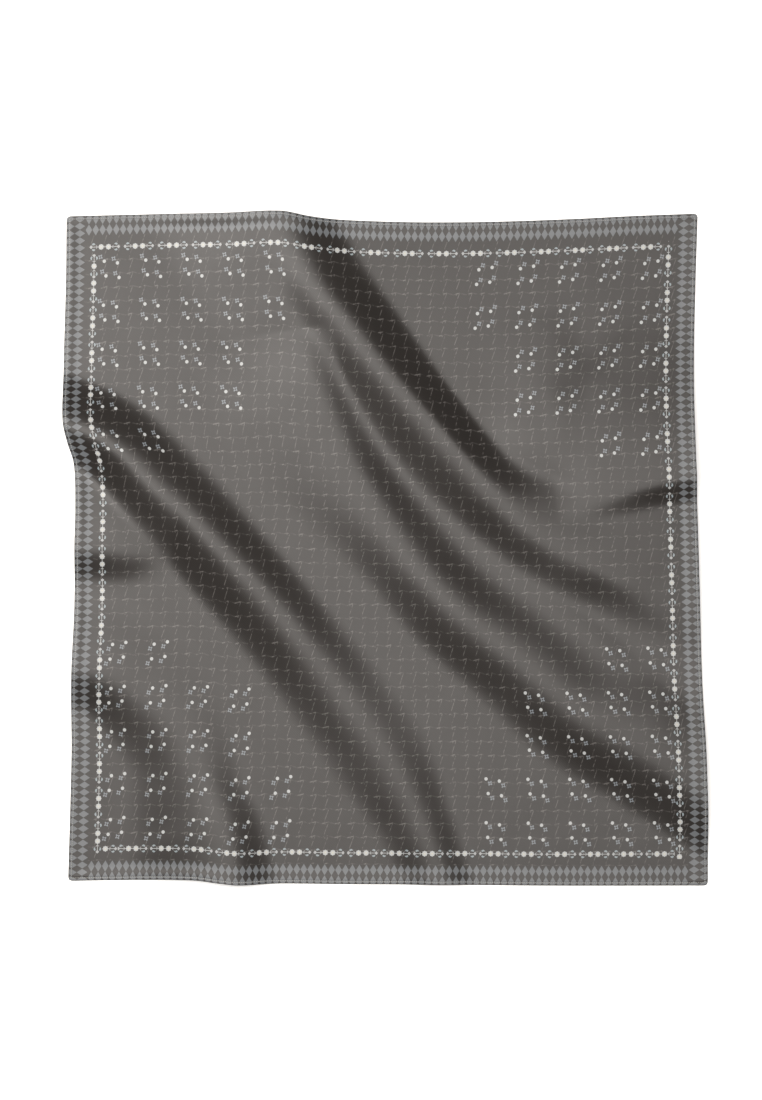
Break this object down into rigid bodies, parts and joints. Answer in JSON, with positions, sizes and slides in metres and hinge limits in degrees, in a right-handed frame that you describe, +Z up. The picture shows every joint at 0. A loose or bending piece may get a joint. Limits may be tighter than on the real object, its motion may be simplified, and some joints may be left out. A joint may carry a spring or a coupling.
{
  "type": "square scarf",
  "caption": "Thin square scarf with narrow turned hems, lying on a surface with soft diagonal folds.",
  "frame": {"origin": "on the surface that the scarf lies on, below the middle of its bounding box", "axes": "+X to the right and +Y to the top edge of the scarf as it is seen from above, +Z up"},
  "size_m": [0.854, 0.8926, 0.0225],
  "materials": {
    "silk_twill": "satin",
    "hem_twill": "satin"
  },
  "bodies": {
    "root": {"cloth_panel": "silk_twill", "hem_top": "hem_twill", "hem_right": "hem_twill", "hem_bottom": "hem_twill", "hem_left": "hem_twill"}
  },
  "joints": []
}
